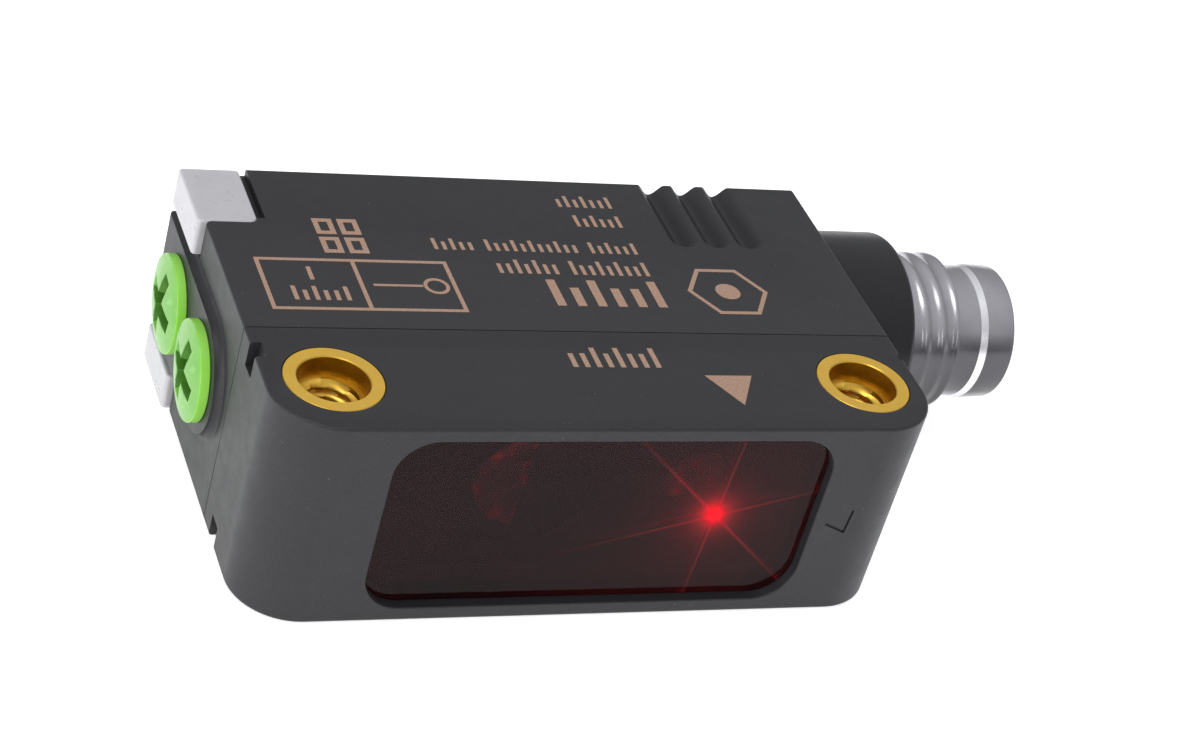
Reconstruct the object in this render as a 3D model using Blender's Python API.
"""Miniature laser photoelectric sensor with two adjusters and an M8 plug connector.

The part lies on its lower big face. +Z is up through the thickness, +X runs along the
length towards the connector, and the front window looks along -Y. The origin is midway
between the two mounting bushes, on the lower face.
Every size and place below is in millimetres; the helpers turn them into metres.
"""

import math

import bmesh
import bpy

MM = 0.001
CLEARANCE = 0.3

# Housing
BODY_LEFT = -15.8
BODY_RIGHT = 15.65
BODY_FRONT = -3.5
BODY_BACK = 16.2
THICKNESS = 10.7
MIDDLE_Z = THICKNESS / 2
SEAM_Y = 3.67
FRONT_CORNER_RADIUS = 3.0
END_WALL_LEFT = 1.5
WALL = 1.1
CORNER_SEGMENTS = 6

# Mounting bushes, M3 on a 25.4 mm pitch
BUSH_PITCH = 25.4
BUSH_RADIUS = 2.25
BUSH_ENTRY_RADIUS = 1.6
BUSH_THREAD_RADIUS = 1.12
BUSH_ENTRY_DEPTH = 1.0
BUSH_CHAMFER = 0.12

# Front window and its pocket
WINDOW_LEFT = -10.5
WINDOW_RIGHT = 10.45
WINDOW_BOTTOM = 0.72
WINDOW_TOP = 10.0
WINDOW_CORNER_RADIUS = 1.9
WINDOW_RECESS = 0.5
WINDOW_THICKNESS = 0.6
SEAL_THICKNESS = 0.3
SEAL_WIDTH = 0.55
POCKET_DEPTH = WINDOW_RECESS + WINDOW_THICKNESS + SEAL_THICKNESS + 2 * CLEARANCE

# Room inside the front cap, and the tongue that enters the rear housing
CAP_ROOM_HALF_LENGTH = 9.4
CAP_ROOM_WALL = 2.05
TONGUE_DEPTH = 1.5
TONGUE_WALL = 0.5

# Small ejector notches in the four vertical edges of the cap
NOTCH_FRONT = 1.55
NOTCH_BACK = 2.55
NOTCH_DEPTH = 0.5
NOTCH_HEIGHT = 1.2

# Grip flutes, open to the back face, on both big faces
FLUTE_FIRST_X = 7.78
FLUTE_PITCH = 1.75
FLUTE_COUNT = 3
FLUTE_HALF_WIDTH = 0.8
FLUTE_DEPTH = 0.6
FLUTE_FRONT = 10.75

# Adjuster platform on the left end
ADJUSTER_Y = (7.64, 12.76)
ADJUSTER_NAMES = ("front", "rear")
PLATFORM_X = -16.1
PLATFORM_RADIUS = 2.875
COVE_WIDTH = 1.2
COVE_DEPTH = 0.7
COVE_STEPS = 3

# Adjuster knobs, seen along their axis (X)
KNOB_RADIUS = 2.35
KNOB_BACK_X = -16.4
KNOB_RIM_X = -16.64
KNOB_TOP_X = -16.95
KNOB_EDGE = 0.06
KNOB_DOME_STEPS = 3
HUB_RADIUS = 1.8
HUB_END_X = -15.8
SHAFT_RADIUS = 1.0
SHAFT_END_X = -14.4
BLADE_END_X = -13.1
BLADE_THICKNESS = 0.6
BLADE_WIDTH = 1.7
RECESS_HALF_LENGTH = 1.6
RECESS_WIDTH = 0.75
RECESS_FLOOR_X = -16.0
RECESS_TURN = math.radians(10)

# Shaft seals and their bore in the end wall
SEAL_BORE_RADIUS = 2.1
SEAL_BORE_END_X = -14.7
SHAFT_BORE_RADIUS = 1.3
SHAFT_SEAL_X = -15.2
SHAFT_SEAL_MIDDLE_RADIUS = 1.55
SHAFT_SEAL_SECTION = 0.25

# Trimmers behind the knobs
TRIMMER_FRONT_X = -13.7
TRIMMER_BACK_X = -11.1
TRIMMER_SIDE = 4.0
TRIMMER_POCKET_RADIUS = 1.6
TRIMMER_POCKET_END_X = -12.1
ROTOR_FRONT_X = -13.95
ROTOR_BACK_X = -12.4
ROTOR_RADIUS = 1.3
ROTOR_SLOT_END_X = -12.8
ROTOR_SLOT_WIDTH = 1.2

# Indicator windows in the two left back corners
LIGHT_LEFT = -16.25
LIGHT_RIGHT = -13.25
LIGHT_FRONT = 11.85
LIGHT_BACK = 16.05
LIGHT_HEIGHT = 1.7
LIGHT_CORNER_RADIUS = 0.5
STEM_END_X = -12.0
STEM_Y = (13.2, 14.6)
STEM_TOP = 1.6
STEM_BOTTOM = 1.1
LIGHT_POCKET_WALL = 0.8

# Circuit boards
BOARD_THICKNESS = 0.8
CONTROL_BOARD_X = -10.8
CONTROL_BOARD_Y = (5.7, 14.8)
INDICATOR_SIZE = (0.6, 1.0, 0.7)
MAIN_BOARD_X = (-9.7, 13.2)
MAIN_BOARD_Y = (8.9, 14.8)
MAIN_BOARD_Z = 2.5
CAPACITOR_PLACE = (10.2, 12.4, 0)
CAPACITOR_RADIUS = 1.5
CAPACITOR_HEIGHT = 3.2
CAPACITOR_EDGE = 0.2

# Parts on the main board: name, look, X range, Y range, height
BOARD_PARTS = (
    ("controller_chip", "chip", (-2.5, 2.5), (9.4, 14.3), 0.9),
    ("regulator_chip", "chip", (5.0, 8.0), (9.8, 12.4), 1.1),
    ("board_header", "white_plastic", (-9.4, -7.4), (10.4, 13.4), 2.0),
    ("connector_board", "board", (12.4, 13.2), (9.4, 13.9), 4.4),
)

# Optics
CARRIER_X = (-6.7, 8.6)
CARRIER_Y = (-0.8, 7.4)
CARRIER_HEIGHT = 6.0
RECEIVER_X = -2.8
RECEIVER_BORE_RADIUS = 2.75
RECEIVER_LENS_Y = -0.3
RECEIVER_LENS_EDGE = 0.6
RECEIVER_LENS_RISE = 0.9
BAFFLE_Y = (3.5, 4.0)
BAFFLE_HOLE_RADIUS = 1.1
EMITTER_X = 5.6
EMITTER_BORE_RADIUS = 1.9
COLLIMATOR_Y = 0.1
COLLIMATOR_EDGE = 0.6
COLLIMATOR_RISE = 0.5
RECEIVER_CHIP_SIZE = (2.6, 0.8, 2.0)
LASER_CAN_FRONT = (3.6, 1.1)
LASER_CAN_BACK = (5.0, 1.15)
LASER_FLANGE_END_Y = 5.8
LASER_LEADS = 3
LASER_LEAD_RADIUS = 0.2
LASER_LEAD_CIRCLE = 0.75
OPTICS_BOARD_Y = 7.7
LENS_STEPS = 4

# M8 connector, seen along its axis (X)
PLUG_Y = 11.65
COLLAR_START_X = BODY_RIGHT + CLEARANCE
COLLAR_END_X = 19.9
COLLAR_RADIUS = 4.93
COLLAR_EDGE = 0.35
COLLAR_BORE_RADIUS = 3.3
COLLAR_BORE_END_X = 16.7
SPIGOT_RADIUS = 3.5
SPIGOT_BORE_RADIUS = 2.5
SPIGOT_START_X = 13.7
PLUG_SEAL_X = 16.05
PLUG_SEAL_MIDDLE_RADIUS = 4.05
PLUG_SEAL_SECTION = 0.15
PLUG_SEAL_GROOVE = (4.6, 16.5)
THREAD_RADIUS = 4.0
THREAD_ROOT_RADIUS = 3.85
THREAD_PITCH = 0.92
THREAD_FIRST_X = 20.98
THREAD_TURNS = 3
THREAD_FLANK = 0.26
THREAD_LAND = 0.06
THREAD_START_X = 20.2
NECK_RADIUS = 3.38
NECK_START_X = 22.95
CONE_X = (24.45, 24.88)
SLEEVE_RADIUS = 3.47
SLEEVE_END_X = 26.6
SLEEVE_CHAMFER = 0.22
SOCKET_RADIUS = 2.95
SOCKET_FLOOR_X = 22.9
SHELL_START_X = 17.0
SHELL_STEM_RADIUS = 3.0
SHELL_BORE_RADIUS = 2.5
SHELL_STEP_X = 22.2
INSERT_FLANGE_RADIUS = 2.65
INSERT_STEM_RADIUS = 2.2
INSERT_START_X = 14.2
PIN_RADIUS = 0.4
PIN_CIRCLE_RADIUS = 1.25
PIN_START_X = 13.5
PIN_END_X = 25.8
PIN_TIP = 0.25
PIN_COUNT = 4

ALONG_X = (0.0, math.pi / 2, 0.0)
ALONG_Y = (-math.pi / 2, 0.0, 0.0)
ALONG_Z = (0.0, 0.0, 0.0)


def clear_scene():
    for scene_object in list(bpy.data.objects):
        bpy.data.objects.remove(scene_object, do_unlink=True)


def make_look(name, colour, roughness, metallic=0.0):
    look = bpy.data.materials.new(name)
    look.use_nodes = True
    shader = look.node_tree.nodes["Principled BSDF"]
    shader.inputs["Base Color"].default_value = (*colour, 1.0)
    shader.inputs["Roughness"].default_value = roughness
    shader.inputs["Metallic"].default_value = metallic
    return look


def make_frame(name, place):
    """An empty that carries the pieces of one rigid body."""
    frame = bpy.data.objects.new(name, None)
    frame.location = [value * MM for value in place]
    bpy.context.scene.collection.objects.link(frame)
    return frame


def add_object(name, shape, look, place=(0, 0, 0), turn=ALONG_Z, frame=None):
    """Turns a bmesh in millimetres into a named object, placed by its location and rotation."""
    bmesh.ops.scale(shape, vec=(MM, MM, MM), verts=shape.verts)
    bmesh.ops.recalc_face_normals(shape, faces=shape.faces)
    mesh = bpy.data.meshes.new(name)
    shape.to_mesh(mesh)
    shape.free()
    if look is not None:
        mesh.materials.append(look)
    mesh.shade_smooth()
    mesh.set_sharp_from_angle(angle=math.radians(35))
    made = bpy.data.objects.new(name, mesh)
    bpy.context.scene.collection.objects.link(made)
    made.location = [value * MM for value in place]
    made.rotation_euler = turn
    if frame is not None:
        made.parent = frame
        made.location = [value * MM - offset for value, offset in zip(place, frame.location)]
    return made


def combine(target, shape, operation, place=(0, 0, 0), turn=ALONG_Z):
    """Cuts a helper shape out of the target, or joins it to the target."""
    tool = add_object(f"tool_{target.name}_{len(target.modifiers)}", shape, None, place, turn)
    tool.hide_render = True
    tool.display_type = "WIRE"
    tool.parent = target.parent
    if target.parent is not None:
        tool.location = [a - b for a, b in zip(tool.location, target.parent.location)]
    boolean = target.modifiers.new(tool.name, "BOOLEAN")
    boolean.operation = operation
    boolean.object = tool
    return tool


def cut(target, shape, place=(0, 0, 0), turn=ALONG_Z):
    return combine(target, shape, "DIFFERENCE", place, turn)


def join(target, shape, place=(0, 0, 0), turn=ALONG_Z):
    return combine(target, shape, "UNION", place, turn)


def block(x, y, z):
    """A box between the given limits on each axis."""
    shape = bmesh.new()
    bmesh.ops.create_cube(shape, size=1.0)
    for vertex in shape.verts:
        vertex.co.x = x[0] if vertex.co.x < 0 else x[1]
        vertex.co.y = y[0] if vertex.co.y < 0 else y[1]
        vertex.co.z = z[0] if vertex.co.z < 0 else z[1]
    return shape


def loft(rings):
    """A solid through rings with equal point counts, closed by a face at each end."""
    shape = bmesh.new()
    rows = [[shape.verts.new(point) for point in ring] for ring in rings]
    count = len(rows[0])
    for low, high in zip(rows, rows[1:]):
        for i in range(count):
            j = (i + 1) % count
            shape.faces.new((low[i], low[j], high[j], high[i]))
    shape.faces.new(list(reversed(rows[0])))
    shape.faces.new(rows[-1])
    return shape


def prism(outline, low, high):
    """A flat outline extruded along local Z."""
    return loft([[(x, y, level) for x, y in outline] for level in (low, high)])


def turned(profile, segments):
    """A solid of revolution about local Z; the profile holds (station, radius) pairs.

    A profile that starts and ends on the axis gives a solid, any other gives a ring.
    """
    shape = bmesh.new()
    rows = []
    for station, radius in profile:
        if radius == 0:
            rows.append([shape.verts.new((0, 0, station))])
            continue
        row = []
        for i in range(segments):
            angle = 2 * math.pi * i / segments
            row.append(shape.verts.new((radius * math.cos(angle), radius * math.sin(angle), station)))
        rows.append(row)
    pairs = list(zip(rows, rows[1:]))
    if len(rows[0]) > 1:
        pairs.append((rows[-1], rows[0]))
    for low, high in pairs:
        for i in range(segments):
            j = (i + 1) % segments
            corners = [low[i % len(low)], low[j % len(low)], high[j % len(high)], high[i % len(high)]]
            shape.faces.new(list(dict.fromkeys(corners)))
    return shape


def plug(start, end, radius, segments):
    """A plain round bar along local Z, used for bores and pins."""
    return turned([(start, 0), (start, radius), (end, radius), (end, 0)], segments)


def ring_torus(middle_radius, section_radius, station, segments, sides=6):
    """The profile of an O-ring."""
    profile = []
    for i in range(sides):
        angle = 2 * math.pi * i / sides
        profile.append((station + section_radius * math.sin(angle),
                        middle_radius + section_radius * math.cos(angle)))
    return turned(profile, segments)


def arc(centre, radius, start, end, segments):
    """Points on an arc, angles in degrees."""
    points = []
    for i in range(segments + 1):
        angle = math.radians(start + (end - start) * i / segments)
        points.append((centre[0] + radius * math.cos(angle), centre[1] + radius * math.sin(angle)))
    return points


def rounded_rectangle(left, right, bottom, top, radius, segments=CORNER_SEGMENTS):
    corners = (
        ((right - radius, top - radius), 0),
        ((left + radius, top - radius), 90),
        ((left + radius, bottom + radius), 180),
        ((right - radius, bottom + radius), 270),
    )
    outline = []
    for centre, start in corners:
        outline += arc(centre, radius, start, start + 90, segments)
    return outline


def lens_profile(edge_radius, front, edge, rise):
    """A plano-convex lens: flat front face, straight edge, domed back."""
    sphere = (edge_radius ** 2 + rise ** 2) / (2 * rise)
    profile = [(front, 0), (front, edge_radius)]
    for i in range(LENS_STEPS + 1):
        radius = edge_radius * (1 - i / LENS_STEPS)
        height = math.sqrt(sphere ** 2 - radius ** 2) - (sphere - rise)
        profile.append((front + edge + height, radius))
    return profile


# ---------------------------------------------------------------- housing shells


def cap_outline():
    """Plan of the front cap: round front corners, square back corners."""
    back = SEAM_Y - CLEARANCE / 2
    radius = FRONT_CORNER_RADIUS
    left = arc((BODY_LEFT + radius, BODY_FRONT + radius), radius, 180, 270, CORNER_SEGMENTS)
    right = arc((BODY_RIGHT - radius, BODY_FRONT + radius), radius, 270, 360, CORNER_SEGMENTS)
    return [(BODY_LEFT, back)] + left + right + [(BODY_RIGHT, back)]


def window_outline(inset):
    """The window shape in the X-Z plane, shrunk by inset; local Y is down after ALONG_Y."""
    return rounded_rectangle(WINDOW_LEFT + inset, WINDOW_RIGHT - inset, -WINDOW_TOP + inset,
                             -WINDOW_BOTTOM - inset, WINDOW_CORNER_RADIUS - inset)


def make_front_cap(look, frame):
    cap = add_object("front_cap", prism(cap_outline(), 0, THICKNESS), look, frame=frame)
    left = BODY_LEFT + END_WALL_LEFT + CLEARANCE
    right = BODY_RIGHT - WALL - CLEARANCE
    low = WALL + CLEARANCE
    high = THICKNESS - low
    tongue_end = SEAM_Y + TONGUE_DEPTH
    join(cap, block((left, right), (SEAM_Y - 1.0, tongue_end), (low, high)))
    cut(cap, block((left + TONGUE_WALL, right - TONGUE_WALL), (SEAM_Y - 0.6, tongue_end + 1),
                   (low + TONGUE_WALL, high - TONGUE_WALL)))
    cut(cap, block((-CAP_ROOM_HALF_LENGTH, CAP_ROOM_HALF_LENGTH), (BODY_FRONT + 1, tongue_end + 1),
                   (CAP_ROOM_WALL, THICKNESS - CAP_ROOM_WALL)))
    cut(cap, prism(window_outline(0), BODY_FRONT - 1, BODY_FRONT + POCKET_DEPTH), turn=ALONG_Y)
    for side in (-1, 1):
        bore = plug(-1, THICKNESS + 1, BUSH_RADIUS + CLEARANCE, 28)
        cut(cap, bore, place=(side * BUSH_PITCH / 2, 0, 0))
    for x in ((BODY_LEFT - 1, BODY_LEFT + NOTCH_DEPTH), (BODY_RIGHT - NOTCH_DEPTH, BODY_RIGHT + 1)):
        for z in ((-1, NOTCH_HEIGHT), (THICKNESS - NOTCH_HEIGHT, THICKNESS + 1)):
            cut(cap, block(x, (NOTCH_FRONT, NOTCH_BACK), z))
    return cap


def stadium(radius, station):
    """The platform's outline in the Y-Z plane at one X station, open past the back face."""
    front = arc((ADJUSTER_Y[0], MIDDLE_Z), radius, 90, 270, 2 * CORNER_SEGMENTS)
    outline = [(BODY_BACK + 1, MIDDLE_Z + radius)] + front + [(BODY_BACK + 1, MIDDLE_Z - radius)]
    return [(station, y, z) for y, z in outline]


def cove_shape():
    """The scoop around the platform, which rolls over from the end face and gets steeper inwards."""
    rings = [stadium(PLATFORM_RADIUS + COVE_WIDTH, BODY_LEFT - 1)]
    for i in range(COVE_STEPS + 1):
        share = i / COVE_STEPS
        radius = PLATFORM_RADIUS + COVE_WIDTH * (1 - share)
        rings.append(stadium(radius, BODY_LEFT + COVE_DEPTH * share ** 2))
    return loft(rings)


def platform_shape():
    """The raised island that the knobs sit on, cut off flush with the back face."""
    rings = []
    for station in (PLATFORM_X, BODY_LEFT + END_WALL_LEFT - 0.2):
        ring = stadium(PLATFORM_RADIUS, station)
        rings.append([(x, min(y, BODY_BACK), z) for x, y, z in ring])
    return loft(rings)


def flute_shape():
    """One grip flute: a shallow round-bottomed groove with a round front end, deepest in the middle."""
    rings = []
    for depth_share in (0.0, 0.25, 0.5, 0.75, 1.0):
        half = FLUTE_HALF_WIDTH * math.sqrt(max(1 - depth_share ** 1.5, 0.04))
        front = arc((0, FLUTE_FRONT + FLUTE_HALF_WIDTH), half, 180, 360, 10)
        outline = [(-half, BODY_BACK + 1)] + front + [(half, BODY_BACK + 1)]
        rings.append([(x, y, -FLUTE_DEPTH * depth_share) for x, y in outline])
    rings.insert(0, [(x, y, 1.0) for x, y, _ in rings[0]])
    return loft(rings)


def make_rear_housing(look, frame):
    front = SEAM_Y + CLEARANCE / 2
    body = block((BODY_LEFT, BODY_RIGHT), (front, BODY_BACK), (0, THICKNESS))
    housing = add_object("rear_housing", body, look, frame=frame)
    cut(housing, cove_shape())
    join(housing, platform_shape())

    room_left = BODY_LEFT + END_WALL_LEFT
    room_back = BODY_BACK - WALL
    pocket_depth = LIGHT_HEIGHT + CLEARANCE
    fill_right = STEM_END_X
    fill_front = LIGHT_FRONT - CLEARANCE - LIGHT_POCKET_WALL
    shelf = pocket_depth + LIGHT_POCKET_WALL
    low_room = [(room_left, front - 1), (BODY_RIGHT - WALL, front - 1), (BODY_RIGHT - WALL, room_back)]
    corner_steps = [(fill_right, room_back), (fill_right, fill_front), (room_left, fill_front)]
    cut(housing, prism(low_room + corner_steps, WALL, THICKNESS - WALL))
    cut(housing, block((room_left, fill_right + 0.1), (fill_front - 0.1, room_back),
                       (shelf, THICKNESS - shelf)))

    light_pocket_y = (LIGHT_FRONT - CLEARANCE, BODY_BACK + 1)
    for low, high, stem_low in (
        (-1, pocket_depth, STEM_BOTTOM - CLEARANCE),
        (THICKNESS - pocket_depth, THICKNESS + 1, THICKNESS - STEM_TOP - CLEARANCE),
    ):
        cut(housing, block((BODY_LEFT - 1, LIGHT_RIGHT + CLEARANCE), light_pocket_y, (low, high)))
        stem_high = stem_low + STEM_TOP - STEM_BOTTOM + 2 * CLEARANCE
        cut(housing, block((LIGHT_RIGHT, STEM_END_X + 0.5),
                           (STEM_Y[0] - CLEARANCE, STEM_Y[1] + CLEARANCE), (stem_low, stem_high)))

    for y in ADJUSTER_Y:
        bore = [(PLATFORM_X - 1, 0), (PLATFORM_X - 1, SEAL_BORE_RADIUS), (SEAL_BORE_END_X, SEAL_BORE_RADIUS),
                (SEAL_BORE_END_X, SHAFT_BORE_RADIUS), (room_left + 1, SHAFT_BORE_RADIUS), (room_left + 1, 0)]
        cut(housing, turned(bore, 24), place=(0, y, MIDDLE_Z), turn=ALONG_X)

    spigot_bore = plug(BODY_RIGHT - 3, BODY_RIGHT + 1, SPIGOT_RADIUS + CLEARANCE, 32)
    cut(housing, spigot_bore, place=(0, PLUG_Y, MIDDLE_Z), turn=ALONG_X)

    for i in range(FLUTE_COUNT):
        x = FLUTE_FIRST_X + i * FLUTE_PITCH
        cut(housing, flute_shape(), place=(x, 0, THICKNESS))
        lower = flute_shape()
        bmesh.ops.scale(lower, vec=(1, 1, -1), verts=lower.verts)
        cut(housing, lower, place=(x, 0, 0))
    return housing


# ---------------------------------------------------------------- front pieces


def make_bush(name, look, frame, x):
    outer = BUSH_RADIUS
    entry = BUSH_ENTRY_RADIUS
    profile = [
        (0, entry), (0, outer - BUSH_CHAMFER), (BUSH_CHAMFER, outer),
        (THICKNESS - BUSH_CHAMFER, outer), (THICKNESS, outer - BUSH_CHAMFER), (THICKNESS, entry),
        (THICKNESS - BUSH_ENTRY_DEPTH, entry), (THICKNESS - BUSH_ENTRY_DEPTH, BUSH_THREAD_RADIUS),
        (BUSH_ENTRY_DEPTH, BUSH_THREAD_RADIUS), (BUSH_ENTRY_DEPTH, entry),
    ]
    return add_object(name, turned(profile, 28), look, place=(x, 0, 0), frame=frame)


def make_window(look, frame):
    front = BODY_FRONT + WINDOW_RECESS
    shape = prism(window_outline(CLEARANCE), front, front + WINDOW_THICKNESS)
    return add_object("front_window", shape, look, turn=ALONG_Y, frame=frame)


def make_window_seal(look, frame):
    """A flat gasket frame between the window and the floor of its pocket."""
    front = BODY_FRONT + WINDOW_RECESS + WINDOW_THICKNESS + CLEARANCE
    outer = window_outline(CLEARANCE)
    seal = add_object("window_seal", prism(outer, front, front + SEAL_THICKNESS), look,
                      turn=ALONG_Y, frame=frame)
    cut(seal, prism(window_outline(CLEARANCE + SEAL_WIDTH), front - 1, front + 1), turn=ALONG_Y)
    return seal


# ---------------------------------------------------------------- adjusters


def make_knob(name, look, frame, y):
    """A domed disc with a cross recess, a hub, a shaft and a driving blade, about the X axis."""
    profile = [(KNOB_TOP_X, 0)]
    rise = KNOB_RIM_X - KNOB_TOP_X
    for i in range(1, KNOB_DOME_STEPS + 1):
        share = i / KNOB_DOME_STEPS
        profile.append((KNOB_TOP_X + rise * share ** 2, (KNOB_RADIUS - KNOB_EDGE) * share))
    profile += [
        (KNOB_RIM_X + KNOB_EDGE, KNOB_RADIUS), (KNOB_BACK_X, KNOB_RADIUS), (KNOB_BACK_X, HUB_RADIUS),
        (HUB_END_X, HUB_RADIUS), (HUB_END_X, SHAFT_RADIUS), (SHAFT_END_X, SHAFT_RADIUS), (SHAFT_END_X, 0),
    ]
    knob = add_object(name, turned(profile, 28), look, place=(0, y, MIDDLE_Z), turn=ALONG_X, frame=frame)
    blade = block((-BLADE_THICKNESS / 2, BLADE_THICKNESS / 2), (-BLADE_WIDTH / 2, BLADE_WIDTH / 2),
                  (SHAFT_END_X - 0.3, BLADE_END_X))
    join(knob, blade, place=(0, y, MIDDLE_Z), turn=ALONG_X)
    half = RECESS_WIDTH / 2
    reach = RECESS_HALF_LENGTH
    cross = [(half, half), (half, reach), (-half, reach), (-half, half), (-reach, half), (-reach, -half),
             (-half, -half), (-half, -reach), (half, -reach), (half, -half), (reach, -half), (reach, half)]
    cosine = math.cos(RECESS_TURN)
    sine = math.sin(RECESS_TURN)
    tilted = [(x * cosine - y0 * sine, x * sine + y0 * cosine) for x, y0 in cross]
    cut(knob, prism(tilted, KNOB_TOP_X - 1, RECESS_FLOOR_X), place=(0, y, MIDDLE_Z), turn=ALONG_X)
    return knob


def make_rotor(name, look, frame, y):
    """The trimmer's turning contact carrier, with the slot that the knob's blade sits in."""
    place = (0, y, MIDDLE_Z)
    shape = plug(ROTOR_FRONT_X, ROTOR_BACK_X, ROTOR_RADIUS, 24)
    rotor = add_object(name, shape, look, place, ALONG_X, frame)
    half = ROTOR_SLOT_WIDTH / 2
    cut(rotor, block((-half, half), (-2, 2), (ROTOR_FRONT_X - 1, ROTOR_SLOT_END_X)), place, ALONG_X)
    return rotor


def make_trimmer(name, look, frame, y):
    half = TRIMMER_SIDE / 2
    z_range = (MIDDLE_Z - half, MIDDLE_Z + half)
    body = block((TRIMMER_FRONT_X, TRIMMER_BACK_X), (y - half, y + half), z_range)
    trimmer = add_object(name, body, look, frame=frame)
    pocket = plug(TRIMMER_FRONT_X - 1, TRIMMER_POCKET_END_X, TRIMMER_POCKET_RADIUS, 24)
    cut(trimmer, pocket, place=(0, y, MIDDLE_Z), turn=ALONG_X)
    return trimmer


def make_shaft_seal(name, look, frame, y):
    shape = ring_torus(SHAFT_SEAL_MIDDLE_RADIUS, SHAFT_SEAL_SECTION, SHAFT_SEAL_X, 16)
    return add_object(name, shape, look, place=(0, y, MIDDLE_Z), turn=ALONG_X, frame=frame)


def make_adjusters(looks, housing_frame):
    for label, y in zip(ADJUSTER_NAMES, ADJUSTER_Y):
        axis_frame = make_frame(f"adjuster_{label}_axis", (PLATFORM_X, y, MIDDLE_Z))
        make_knob(f"adjuster_knob_{label}", looks["knob"], axis_frame, y)
        make_rotor(f"trimmer_rotor_{label}", looks["white_plastic"], axis_frame, y)
        make_trimmer(f"trimmer_body_{label}", looks["trimmer"], housing_frame, y)
        make_shaft_seal(f"shaft_seal_{label}", looks["rubber"], housing_frame, y)


# ---------------------------------------------------------------- indicators


def make_indicator_window(name, look, frame, upper):
    """A corner light guide with round upright corners, and a stem that reaches its diode."""
    low, high = (THICKNESS - LIGHT_HEIGHT, THICKNESS) if upper else (0, LIGHT_HEIGHT)
    stem = (THICKNESS - STEM_TOP, THICKNESS - STEM_BOTTOM) if upper else (STEM_BOTTOM, STEM_TOP)
    outline = rounded_rectangle(LIGHT_LEFT, LIGHT_RIGHT, LIGHT_FRONT, LIGHT_BACK, LIGHT_CORNER_RADIUS, 4)
    window = add_object(name, prism(outline, low, high), look, frame=frame)
    join(window, block((LIGHT_RIGHT - 0.5, STEM_END_X), STEM_Y, stem))
    return window


def make_indicators(looks, frame):
    depth, width, height = INDICATOR_SIZE
    x_range = (CONTROL_BOARD_X - CLEARANCE - depth, CONTROL_BOARD_X - CLEARANCE)
    middle_y = sum(STEM_Y) / 2
    y_range = (middle_y - width / 2, middle_y + width / 2)
    board_top = THICKNESS - WALL - CLEARANCE
    board_bottom = WALL + CLEARANCE
    for label, upper in (("upper", True), ("lower", False)):
        make_indicator_window(f"indicator_window_{label}", looks["light_guide"], frame, upper)
        z_range = (board_top - height, board_top) if upper else (board_bottom, board_bottom + height)
        add_object(f"indicator_diode_{label}", block(x_range, y_range, z_range), looks["diode"], frame=frame)


# ---------------------------------------------------------------- boards and optics


def make_boards(looks, frame):
    board_x = (CONTROL_BOARD_X, CONTROL_BOARD_X + BOARD_THICKNESS)
    board_z = (WALL + CLEARANCE, THICKNESS - WALL - CLEARANCE)
    add_object("control_board", block(board_x, CONTROL_BOARD_Y, board_z), looks["board"], frame=frame)

    top = MAIN_BOARD_Z + BOARD_THICKNESS
    main_board = block(MAIN_BOARD_X, MAIN_BOARD_Y, (MAIN_BOARD_Z, top))
    add_object("main_board", main_board, looks["board"], frame=frame)
    floor = top + CLEARANCE
    for name, look, x, y, height in BOARD_PARTS:
        add_object(name, block(x, y, (floor, floor + height)), looks[look], frame=frame)
    radius = CAPACITOR_RADIUS
    end = floor + CAPACITOR_HEIGHT
    edge = CAPACITOR_EDGE
    can = [(floor, 0), (floor, radius), (end - edge, radius), (end, radius - edge), (end, 0)]
    add_object("storage_capacitor", turned(can, 24), looks["capacitor"], CAPACITOR_PLACE, frame=frame)


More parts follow.
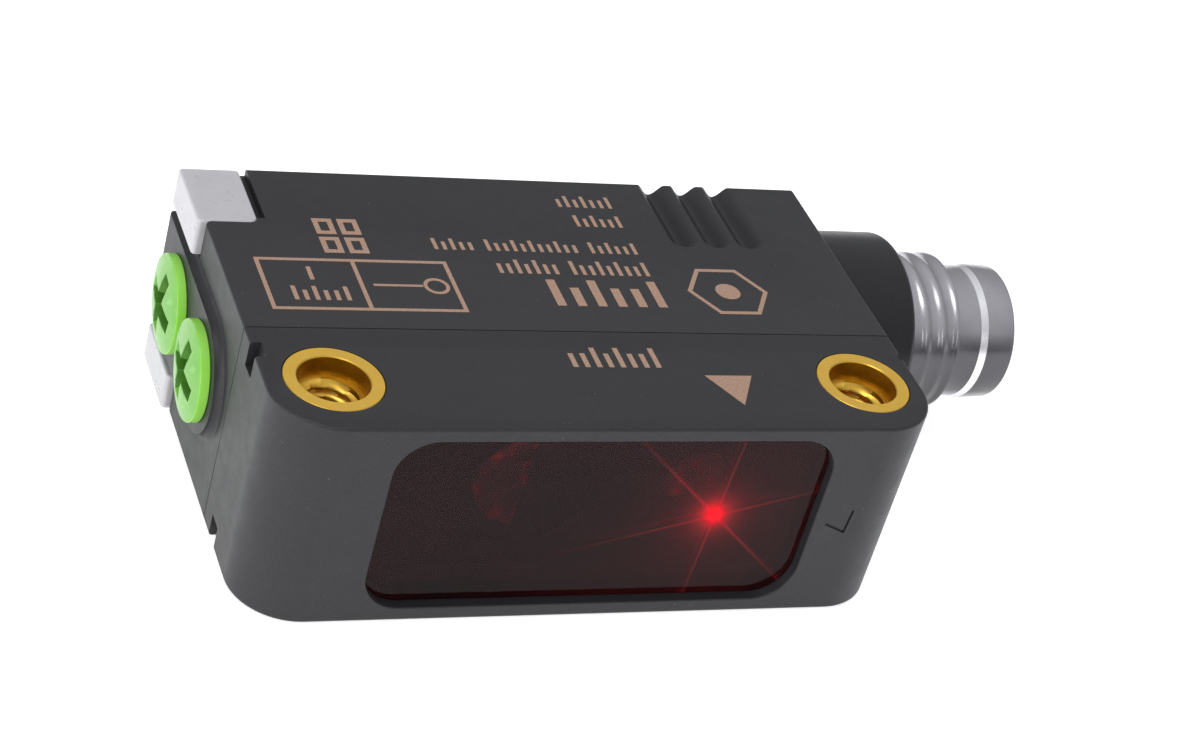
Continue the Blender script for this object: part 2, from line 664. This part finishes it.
def make_optics(looks, frame):
    z_range = (MIDDLE_Z - CARRIER_HEIGHT / 2, MIDDLE_Z + CARRIER_HEIGHT / 2)
    board_y = (OPTICS_BOARD_Y, OPTICS_BOARD_Y + BOARD_THICKNESS)
    add_object("optics_board", block(CARRIER_X, board_y, z_range), looks["board"], frame=frame)
    body = block(CARRIER_X, CARRIER_Y, z_range)
    carrier = add_object("optics_carrier", body, looks["carrier"], frame=frame)
    for x, radius in ((RECEIVER_X, RECEIVER_BORE_RADIUS), (EMITTER_X, EMITTER_BORE_RADIUS)):
        bore = plug(CARRIER_Y[0] - 1, CARRIER_Y[1] + 1, radius, 28)
        cut(carrier, bore, place=(x, 0, MIDDLE_Z), turn=ALONG_Y)

    place = (RECEIVER_X, 0, MIDDLE_Z)
    inner = RECEIVER_BORE_RADIUS - CLEARANCE
    profile = lens_profile(inner, RECEIVER_LENS_Y, RECEIVER_LENS_EDGE, RECEIVER_LENS_RISE)
    add_object("receiver_lens", turned(profile, 24), looks["lens"], place, ALONG_Y, frame)
    front, back = BAFFLE_Y
    hole = BAFFLE_HOLE_RADIUS
    baffle = turned([(front, hole), (front, inner), (back, inner), (back, hole)], 24)
    add_object("receiver_baffle", baffle, looks["carrier"], place, ALONG_Y, frame)
    chip_back = OPTICS_BOARD_Y - CLEARANCE
    width, depth, height = RECEIVER_CHIP_SIZE
    chip = block((RECEIVER_X - width / 2, RECEIVER_X + width / 2), (chip_back - depth, chip_back),
                 (MIDDLE_Z - height / 2, MIDDLE_Z + height / 2))
    add_object("receiver_chip", chip, looks["chip"], frame=frame)

    place = (EMITTER_X, 0, MIDDLE_Z)
    inner = EMITTER_BORE_RADIUS - CLEARANCE
    profile = lens_profile(inner, COLLIMATOR_Y, COLLIMATOR_EDGE, COLLIMATOR_RISE)
    add_object("collimator_lens", turned(profile, 20), looks["lens"], place, ALONG_Y, frame)
    can = [(LASER_CAN_FRONT[0], 0), LASER_CAN_FRONT, LASER_CAN_BACK, (LASER_CAN_BACK[0], inner),
           (LASER_FLANGE_END_Y, inner), (LASER_FLANGE_END_Y, 0)]
    laser = add_object("laser_diode", turned(can, 20), looks["steel"], place, ALONG_Y, frame)
    for i in range(LASER_LEADS):
        angle = math.radians(90 + 360 * i / LASER_LEADS)
        x = EMITTER_X + LASER_LEAD_CIRCLE * math.cos(angle)
        z = MIDDLE_Z + LASER_LEAD_CIRCLE * math.sin(angle)
        lead = plug(LASER_FLANGE_END_Y - CLEARANCE, chip_back, LASER_LEAD_RADIUS, 8)
        join(laser, lead, place=(x, 0, z), turn=ALONG_Y)


# ---------------------------------------------------------------- connector


def shell_profile():
    """The nickelled shell: outside from the collar outwards, then back through the bore."""
    profile = [(SHELL_START_X, SHELL_STEM_RADIUS), (THREAD_START_X, SHELL_STEM_RADIUS),
               (THREAD_START_X, THREAD_ROOT_RADIUS)]
    for turn in range(THREAD_TURNS):
        crest = THREAD_FIRST_X + turn * THREAD_PITCH
        profile += [(crest - THREAD_FLANK, THREAD_ROOT_RADIUS), (crest - THREAD_LAND, THREAD_RADIUS),
                    (crest + THREAD_LAND, THREAD_RADIUS)]
        if turn < THREAD_TURNS - 1:
            profile.append((crest + THREAD_FLANK, THREAD_ROOT_RADIUS))
    profile += [
        (NECK_START_X, THREAD_ROOT_RADIUS), (NECK_START_X, NECK_RADIUS),
        (CONE_X[0], NECK_RADIUS), (CONE_X[1], SLEEVE_RADIUS),
        (SLEEVE_END_X - SLEEVE_CHAMFER, SLEEVE_RADIUS), (SLEEVE_END_X, SLEEVE_RADIUS - SLEEVE_CHAMFER),
        (SLEEVE_END_X, SOCKET_RADIUS), (SHELL_STEP_X, SOCKET_RADIUS),
        (SHELL_STEP_X, SHELL_BORE_RADIUS), (SHELL_START_X, SHELL_BORE_RADIUS),
    ]
    return profile


def collar_profile():
    """The plastic neck: spigot through the end wall, face with the seal groove, and the bore."""
    groove_radius, groove_end = PLUG_SEAL_GROOVE
    softened = COLLAR_EDGE * 0.3
    return [
        (SPIGOT_START_X, SPIGOT_BORE_RADIUS), (SPIGOT_START_X, SPIGOT_RADIUS),
        (groove_end, SPIGOT_RADIUS), (groove_end, groove_radius),
        (COLLAR_START_X, groove_radius), (COLLAR_START_X, COLLAR_RADIUS),
        (COLLAR_END_X - COLLAR_EDGE, COLLAR_RADIUS), (COLLAR_END_X - softened, COLLAR_RADIUS - softened),
        (COLLAR_END_X, COLLAR_RADIUS - COLLAR_EDGE), (COLLAR_END_X, COLLAR_BORE_RADIUS),
        (COLLAR_BORE_END_X, COLLAR_BORE_RADIUS), (COLLAR_BORE_END_X, SPIGOT_BORE_RADIUS),
    ]


def make_connector(looks, frame):
    place = (0, PLUG_Y, MIDDLE_Z)
    add_object("connector_collar", turned(collar_profile(), 32), looks["collar"], place, ALONG_X, frame)
    seal = ring_torus(PLUG_SEAL_MIDDLE_RADIUS, PLUG_SEAL_SECTION, PLUG_SEAL_X, 24)
    add_object("connector_seal", seal, looks["rubber"], place, ALONG_X, frame)
    add_object("connector_shell", turned(shell_profile(), 28), looks["nickel"], place, ALONG_X, frame)

    stem_end = SHELL_STEP_X + CLEARANCE
    profile = [(INSERT_START_X, 0), (INSERT_START_X, INSERT_STEM_RADIUS), (stem_end, INSERT_STEM_RADIUS),
               (stem_end, INSERT_FLANGE_RADIUS), (SOCKET_FLOOR_X, INSERT_FLANGE_RADIUS), (SOCKET_FLOOR_X, 0)]
    insert = add_object("contact_insert", turned(profile, 24), looks["insert"], place, ALONG_X, frame)
    pin = [(PIN_START_X, 0), (PIN_START_X, PIN_RADIUS), (PIN_END_X - PIN_TIP, PIN_RADIUS),
           (PIN_END_X, PIN_RADIUS - PIN_TIP), (PIN_END_X, 0)]
    for i in range(PIN_COUNT):
        angle = math.radians(45 + 360 * i / PIN_COUNT)
        y = PLUG_Y + PIN_CIRCLE_RADIUS * math.cos(angle)
        z = MIDDLE_Z + PIN_CIRCLE_RADIUS * math.sin(angle)
        hole = plug(PIN_START_X - 1, PIN_END_X, PIN_RADIUS + CLEARANCE, 10)
        cut(insert, hole, (0, y, z), ALONG_X)
        add_object(f"contact_pin_{i + 1}", turned(pin, 10), looks["gold"], (0, y, z), ALONG_X, frame)


def make_looks():
    return {
        "housing": make_look("housing_plastic", (0.045, 0.045, 0.050), 0.55),
        "collar": make_look("collar_plastic", (0.022, 0.022, 0.024), 0.32),
        "window": make_look("tinted_window", (0.040, 0.012, 0.014), 0.08),
        "brass": make_look("brass", (0.80, 0.50, 0.16), 0.22, 1.0),
        "light_guide": make_look("light_guide", (0.72, 0.71, 0.74), 0.35),
        "knob": make_look("green_knob", (0.26, 0.62, 0.09), 0.38),
        "nickel": make_look("nickelled_brass", (0.62, 0.61, 0.62), 0.20, 1.0),
        "steel": make_look("steel", (0.50, 0.50, 0.50), 0.30, 1.0),
        "gold": make_look("gold_plate", (0.85, 0.62, 0.28), 0.22, 1.0),
        "insert": make_look("contact_insert_plastic", (0.02, 0.02, 0.02), 0.50),
        "rubber": make_look("seal_rubber", (0.02, 0.02, 0.02), 0.70),
        "white_plastic": make_look("white_plastic", (0.75, 0.73, 0.68), 0.50),
        "trimmer": make_look("trimmer_plastic", (0.05, 0.12, 0.40), 0.45),
        "board": make_look("circuit_board", (0.02, 0.17, 0.07), 0.45),
        "chip": make_look("chip_resin", (0.03, 0.03, 0.03), 0.55),
        "diode": make_look("indicator_diode", (0.80, 0.75, 0.40), 0.35),
        "capacitor": make_look("capacitor_can", (0.60, 0.60, 0.60), 0.30, 1.0),
        "carrier": make_look("optics_plastic", (0.018, 0.018, 0.018), 0.60),
        "lens": make_look("lens", (0.60, 0.60, 0.62), 0.05),
    }


def main():
    clear_scene()
    looks = make_looks()
    frame = make_frame("housing_frame", (0, 0, 0))
    make_rear_housing(looks["housing"], frame)
    make_front_cap(looks["housing"], frame)
    make_window(looks["window"], frame)
    make_window_seal(looks["rubber"], frame)
    make_bush("mounting_bush_left", looks["brass"], frame, -BUSH_PITCH / 2)
    make_bush("mounting_bush_right", looks["brass"], frame, BUSH_PITCH / 2)
    make_adjusters(looks, frame)
    make_indicators(looks, frame)
    make_boards(looks, frame)
    make_optics(looks, frame)
    make_connector(looks, frame)


main()
